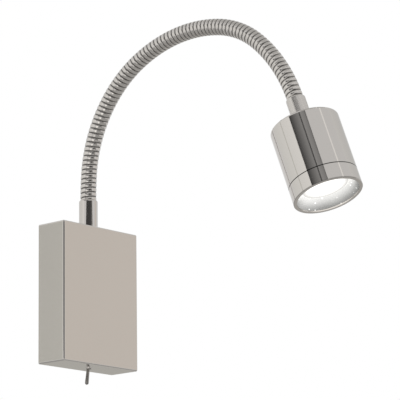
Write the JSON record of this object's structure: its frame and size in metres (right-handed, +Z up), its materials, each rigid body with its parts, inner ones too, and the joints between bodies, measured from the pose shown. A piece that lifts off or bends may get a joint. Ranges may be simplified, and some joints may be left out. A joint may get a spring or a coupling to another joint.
{
  "type": "bedside wall reading lamp",
  "caption": "Wall reading lamp: slim metal wall box with a toggle switch, a bendable ribbed neck and a small cylindrical LED spot head.",
  "frame": {"origin": "centre of the wall bracket's back face, on the wall plane", "axes": "+Z up, -Y out of the wall into the room, +X to the right seen from the room"},
  "size_m": [0.083, 0.2798, 0.2702],
  "materials": {
    "polished_nickel": "polished plated steel",
    "zinc_steel": "zinc-plated sheet steel",
    "brass_nickel": "nickel-plated brass",
    "black_rubber": "soft black rubber",
    "white_plastic": "matte moulded plastic",
    "black_plastic": "matte moulded plastic",
    "brown_sleeve": "extruded cord sleeve",
    "blue_sleeve": "extruded cord sleeve",
    "earth_sleeve": "extruded cord sleeve",
    "cable_jacket": "extruded cord jacket",
    "bright_aluminium": "vacuum-metallised, high polish",
    "cast_aluminium": "die-cast aluminium",
    "frosted_lens": "frosted diffuser",
    "silicone": "soft silicone",
    "board_white": "white coated aluminium board",
    "phosphor": "yellow phosphor over the chips"
  },
  "bodies": {
    "wall_box": {"housing_cover": "polished_nickel", "wall_bracket": "zinc_steel", "cover_screws": "polished_nickel", "cable_grommet": "black_rubber", "led_driver": "white_plastic", "driver_screws": "zinc_steel", "terminal_block": "black_plastic", "terminal_screws": "zinc_steel", "earth_screw": "brass_nickel", "earth_tag": "brass_nickel", "live_lead": "brown_sleeve", "switched_lead": "brown_sleeve", "neutral_lead": "blue_sleeve", "earth_lead": "earth_sleeve", "toggle_body": "black_plastic", "toggle_pin": "zinc_steel", "toggle_bushing": "polished_nickel", "toggle_nut": "zinc_steel", "toggle_lugs": "brass_nickel", "arm_base_collar": "polished_nickel", "arm_nipple": "zinc_steel", "toothed_washer": "zinc_steel", "arm_lock_nut": "zinc_steel", "led_cable": "cable_jacket", "hose_link_01": "polished_nickel"},
    "toggle": {"toggle_lever": "polished_nickel"},
    "neck_02": {"hose_link_02": "polished_nickel"},
    "neck_03": {"hose_link_03": "polished_nickel"},
    "neck_04": {"hose_link_04": "polished_nickel"},
    "neck_05": {"hose_link_05": "polished_nickel"},
    "neck_06": {"hose_link_06": "polished_nickel"},
    "neck_07": {"hose_link_07": "polished_nickel"},
    "neck_08": {"hose_link_08": "polished_nickel"},
    "neck_09": {"hose_link_09": "polished_nickel"},
    "neck_10": {"hose_link_10": "polished_nickel"},
    "neck_11": {"hose_link_11": "polished_nickel"},
    "neck_12": {"hose_link_12": "polished_nickel"},
    "neck_13": {"hose_link_13": "polished_nickel"},
    "neck_14": {"hose_link_14": "polished_nickel"},
    "head": {"hose_link_15": "polished_nickel", "head_collar": "polished_nickel", "head_housing": "polished_nickel", "head_lock_nut": "zinc_steel", "head_bezel": "polished_nickel", "reflector": "bright_aluminium", "lens_gasket": "silicone", "diffuser_lens": "frosted_lens", "heat_sink": "cast_aluminium", "thermal_pad": "silicone", "led_board": "board_white", "led_chip": "phosphor", "board_screws": "zinc_steel"}
  },
  "joints": [
    {"name": "neck_lower_bend", "type": "hinge", "parent": "wall_box", "child": "neck_02", "pos_m": [0, -0.01458, 0.0996], "axis": [1, 0, 0], "range_deg": [-10, 6], "deforming": ["led_cable"]},
    {"name": "neck_lower_sway", "type": "hinge", "parent": "neck_02", "child": "neck_03", "pos_m": [0, -0.0184, 0.12033], "axis": [0, 0.9593, 0.2823], "range_deg": [-10, 10]},
    {"name": "neck_lower_bend_2", "type": "hinge", "parent": "neck_03", "child": "neck_04", "pos_m": [0, -0.02642, 0.13983], "axis": [1, 0, 0], "range_deg": [-10, 6]},
    {"name": "neck_lower_bend_3", "type": "hinge", "parent": "neck_04", "child": "neck_05", "pos_m": [0, -0.03828, 0.15726], "axis": [1, 0, 0], "range_deg": [-10, 6]},
    {"name": "neck_lower_sway_2", "type": "hinge", "parent": "neck_05", "child": "neck_06", "pos_m": [0, -0.05349, 0.17186], "axis": [0, 0.6143, 0.7891], "range_deg": [-10, 10]},
    {"name": "neck_lower_bend_4", "type": "hinge", "parent": "neck_06", "child": "neck_07", "pos_m": [0, -0.07138, 0.18302], "axis": [1, 0, 0], "range_deg": [-10, 6]},
    {"name": "neck_lower_bend_5", "type": "hinge", "parent": "neck_07", "child": "neck_08", "pos_m": [0, -0.09105, 0.19063], "axis": [1, 0, 0], "range_deg": [-10, 6]},
    {"name": "neck_lower_sway_3", "type": "hinge", "parent": "neck_08", "child": "neck_09", "pos_m": [0, -0.11173, 0.19482], "axis": [0, 0.1149, 0.9934], "range_deg": [-10, 10]},
    {"name": "neck_upper_bend", "type": "hinge", "parent": "neck_09", "child": "neck_10", "pos_m": [0, -0.13281, 0.19546], "axis": [1, 0, 0], "range_deg": [-10, 6]},
    {"name": "neck_upper_bend_2", "type": "hinge", "parent": "neck_10", "child": "neck_11", "pos_m": [0, -0.1537, 0.19254], "axis": [1, 0, 0], "range_deg": [-10, 6]},
    {"name": "neck_upper_sway", "type": "hinge", "parent": "neck_11", "child": "neck_12", "pos_m": [0, -0.17351, 0.18537], "axis": [0, -0.454, 0.891], "range_deg": [-10, 10]},
    {"name": "neck_upper_bend_3", "type": "hinge", "parent": "neck_12", "child": "neck_13", "pos_m": [0, -0.19095, 0.17356], "axis": [1, 0, 0], "range_deg": [-10, 6]},
    {"name": "neck_upper_bend_4", "type": "hinge", "parent": "neck_13", "child": "neck_14", "pos_m": [0, -0.20562, 0.1584], "axis": [1, 0, 0], "range_deg": [-10, 6]},
    {"name": "neck_upper_sway_2", "type": "hinge", "parent": "neck_14", "child": "head", "pos_m": [0, -0.21759, 0.14102], "axis": [0, -0.8678, 0.497], "range_deg": [-10, 10]},
    {"name": "toggle_rock", "type": "hinge", "parent": "wall_box", "child": "toggle", "pos_m": [0, -0.01375, -0.051], "axis": [0, 1, 0], "range_deg": [-16, 0]}
  ],
  "couplings": [
    {"joint": "neck_lower_bend_2", "follows": "neck_lower_bend", "ratio": 1},
    {"joint": "neck_lower_bend_3", "follows": "neck_lower_bend", "ratio": 1},
    {"joint": "neck_lower_bend_4", "follows": "neck_lower_bend", "ratio": 1},
    {"joint": "neck_lower_bend_5", "follows": "neck_lower_bend", "ratio": 1},
    {"joint": "neck_lower_sway_2", "follows": "neck_lower_sway", "ratio": 1},
    {"joint": "neck_lower_sway_3", "follows": "neck_lower_sway", "ratio": 1},
    {"joint": "neck_upper_bend_2", "follows": "neck_upper_bend", "ratio": 1},
    {"joint": "neck_upper_bend_3", "follows": "neck_upper_bend", "ratio": 1},
    {"joint": "neck_upper_bend_4", "follows": "neck_upper_bend", "ratio": 1},
    {"joint": "neck_upper_sway_2", "follows": "neck_upper_sway", "ratio": 1}
  ]
}
